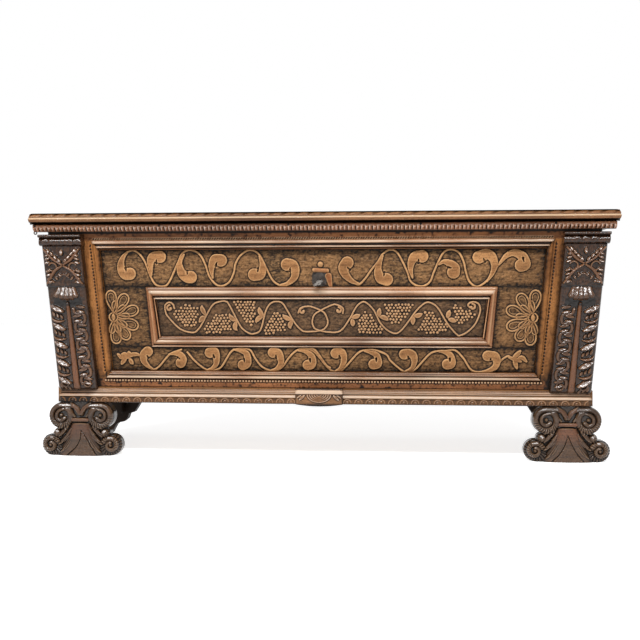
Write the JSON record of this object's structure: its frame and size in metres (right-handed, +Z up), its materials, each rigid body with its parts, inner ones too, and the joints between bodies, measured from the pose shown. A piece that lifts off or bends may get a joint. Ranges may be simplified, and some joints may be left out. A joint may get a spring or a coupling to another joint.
{
  "type": "cassone",
  "caption": "Italian carved walnut cassone: leaning chest on scroll feet with pilasters, a vine panel in a moulded frame, hinged lid and turning key lock.",
  "frame": {"origin": "on the floor, under the middle of the lid", "axes": "+X along the chest to the right as seen from the front, +Y from the front to the back, +Z up"},
  "size_m": [1.5, 0.54, 0.632],
  "materials": {
    "walnut_ground": "punched dark ground of the carving, waxed",
    "walnut_plain": "plain waxed walnut",
    "walnut_frame": "waxed walnut, orange brown",
    "walnut_moulding": "polished walnut moulding",
    "walnut_dark": "carved walnut, dark glossy polish",
    "walnut_shadow": "plain dark walnut",
    "walnut_lid": "polished walnut with a carved edge",
    "softwood_inside": "old dry poplar, unfinished",
    "wrought_iron": "dark forged iron",
    "iron_nails": "dark forged iron"
  },
  "bodies": {
    "carcass": {"front_board": "walnut_ground", "back_board": "walnut_plain", "bottom_board": "softwood_inside", "bottom_battens": "softwood_inside", "end_board_left": "walnut_plain", "end_board_right": "walnut_plain", "frame_top_rail": "walnut_frame", "frame_bottom_rail": "walnut_frame", "frame_stile_left": "walnut_frame", "frame_stile_right": "walnut_frame", "top_moulding": "walnut_moulding", "bottom_moulding": "walnut_moulding", "inner_frame_top": "walnut_moulding", "inner_frame_bottom": "walnut_moulding", "inner_frame_left": "walnut_moulding", "inner_frame_right": "walnut_moulding", "vine_panel": "walnut_ground", "pilaster_left": "walnut_dark", "pilaster_right": "walnut_dark", "plinth_front_left": "walnut_moulding", "plinth_front_right": "walnut_moulding", "plinth_end_left": "walnut_moulding", "plinth_end_right": "walnut_moulding", "plinth_plaque": "walnut_moulding", "front_foot_left": "walnut_dark", "front_foot_right": "walnut_dark", "rear_foot_left": "walnut_shadow", "rear_foot_right": "walnut_shadow", "foot_brackets": "softwood_inside", "lock_case": "wrought_iron", "lock_cover": "wrought_iron", "escutcheon": "wrought_iron", "hinge_leaf_left": "wrought_iron", "hinge_leaf_right": "wrought_iron", "hinge_pin_left": "wrought_iron", "hinge_pin_right": "wrought_iron", "moulding_nails": "iron_nails", "rail_nails": "iron_nails", "escutcheon_nails": "iron_nails", "hinge_leaf_nails": "iron_nails"},
    "lid": {"lid_board": "walnut_lid", "lid_lip": "walnut_lid", "lid_cleat_left": "walnut_lid", "lid_cleat_right": "walnut_lid", "hinge_strap_left": "wrought_iron", "hinge_strap_right": "wrought_iron", "hinge_strap_nails": "iron_nails", "lip_nails": "iron_nails", "lock_staple": "wrought_iron"},
    "key": {"key": "wrought_iron"},
    "lock_bolt": {"lock_bolt": "wrought_iron"}
  },
  "joints": [
    {"name": "lid_hinge", "type": "hinge", "parent": "carcass", "child": "lid", "pos_m": [0, 0.2535, 0.604], "axis": [-1, 0, 0], "range_deg": [0, 100]},
    {"name": "key_turn", "type": "hinge", "parent": "carcass", "child": "key", "pos_m": [0, -0.20033, 0.45497], "axis": [0, -0.9964, -0.0847], "range_deg": [0, 122.2]},
    {"name": "bolt_slide", "type": "slide", "parent": "carcass", "child": "lock_bolt", "axis": [-1, 0, 0], "range_m": [0, 0.028]}
  ],
  "couplings": [
    {"joint": "key_turn", "follows": "bolt_slide", "rad_per_m": 76.046}
  ]
}
